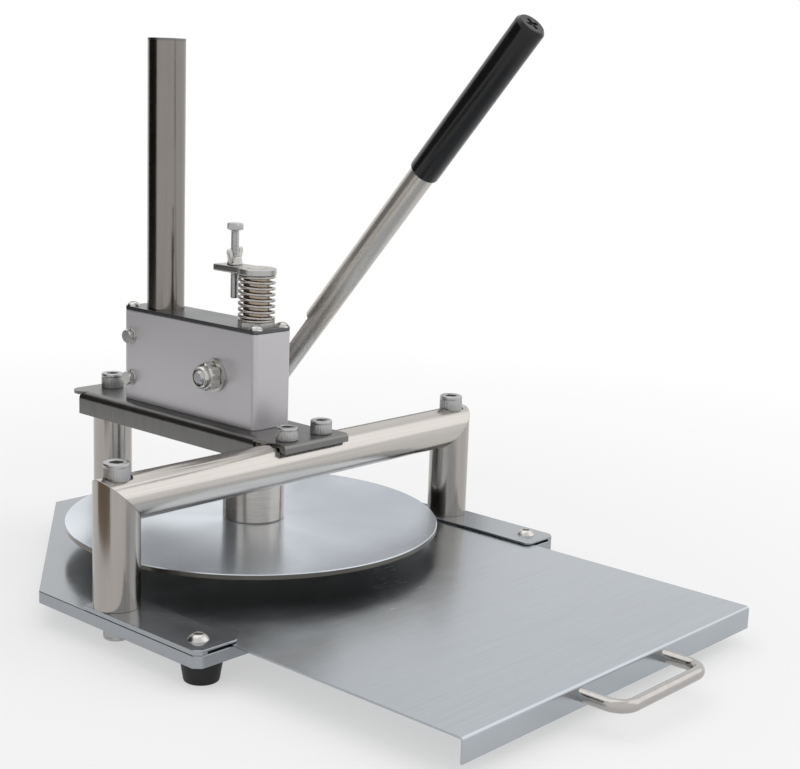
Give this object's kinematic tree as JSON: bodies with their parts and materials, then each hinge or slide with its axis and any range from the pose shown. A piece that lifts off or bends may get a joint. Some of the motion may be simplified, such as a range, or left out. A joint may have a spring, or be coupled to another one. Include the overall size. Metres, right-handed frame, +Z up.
{
  "type": "dough press",
  "caption": "Hand lever dough press with a round plate on a sprung rack shaft, a post and crossbar frame, an adjustable depth stop and a pull-out tray.",
  "frame": {"origin": "on the table under the axis of the press shaft", "axes": "+Z up along the press shaft, -Y the way the tray pulls out, +X towards the lever"},
  "size_m": [0.3662, 0.5624, 0.4186],
  "materials": {
    "satin_plate": "satin",
    "bar_steel": "polished",
    "plate_alloy": "brushed",
    "tray_steel": "bright",
    "dark_steel": "satin",
    "grey_paint": "semi gloss",
    "fastener": "knurled",
    "bright_zinc": "polished",
    "bronze": "turned",
    "black_rubber": "moulded"
  },
  "bodies": {
    "frame": {"base_plate": "satin_plate", "left_rail": "satin_plate", "right_rail": "satin_plate", "left_post": "bar_steel", "right_post": "bar_steel", "crossbar": "bar_steel", "rear_post": "bar_steel", "hand_post": "bar_steel", "bridge_plate": "dark_steel", "housing_lid": "dark_steel", "hand_post_cap": "dark_steel", "housing": "grey_paint", "corner_screws": "fastener", "base_screws": "fastener", "bridge_screws": "fastener", "rear_screw": "fastener", "hand_post_screw": "fastener", "upper_guide": "fastener", "rear_block": "fastener", "hand_post_plug": "fastener", "foot_screws": "bright_zinc", "rail_screws": "bright_zinc", "housing_screws": "bright_zinc", "cross_bolts": "bright_zinc", "cross_nuts": "bright_zinc", "lid_screws": "bright_zinc", "lower_bush": "bronze", "pivot_bushes": "bronze", "rubber_feet": "black_rubber"},
    "lever": {"pivot_shaft": "bar_steel", "drive_pinion": "fastener", "pinion_key": "bright_zinc", "pivot_washer": "bright_zinc", "pivot_nut": "bright_zinc", "lever_hub": "fastener", "hub_pin": "bright_zinc", "lever_bar": "bar_steel", "lever_screw": "fastener", "lever_grip": "black_rubber"},
    "press": {"press_shaft": "bar_steel", "press_collar": "bar_steel", "collar_screw": "fastener", "press_plate": "plate_alloy", "plate_screw": "bright_zinc", "stop_bracket": "dark_steel", "return_spring": "bright_zinc"},
    "stop": {"stop_bolt": "bright_zinc"},
    "wing": {"wing_nut": "bright_zinc"},
    "tray": {"tray_sheet": "tray_steel", "tray_handle": "tray_steel"}
  },
  "joints": [
    {"name": "lever_swing", "type": "hinge", "parent": "frame", "child": "lever", "pos_m": [0, 0.0242, 0.1527], "axis": [1, 0, 0], "range_deg": [0, 52.6]},
    {"name": "press_slide", "type": "slide", "parent": "frame", "child": "press", "axis": [0, 0, -1], "range_m": [0, 0.0147], "stiffness_N_per_m": 6000, "springref_m": -0.025, "deforming": ["return_spring"]},
    {"name": "stop_bolt_feed", "type": "slide", "parent": "press", "child": "stop", "axis": [0, 0, 1], "range_m": [-0.0025, 0.012]},
    {"name": "wing_nut_turn", "type": "hinge", "parent": "press", "child": "wing", "pos_m": [0, 0.0246, 0.2346], "axis": [0, 0, 1], "continuous": true},
    {"name": "tray_slide", "type": "slide", "parent": "frame", "child": "tray", "axis": [0, 1, 0], "range_m": [-0.03, 0.185]}
  ],
  "couplings": [
    {"joint": "press_slide", "follows": "lever_swing", "m_per_rad": 0.016}
  ]
}
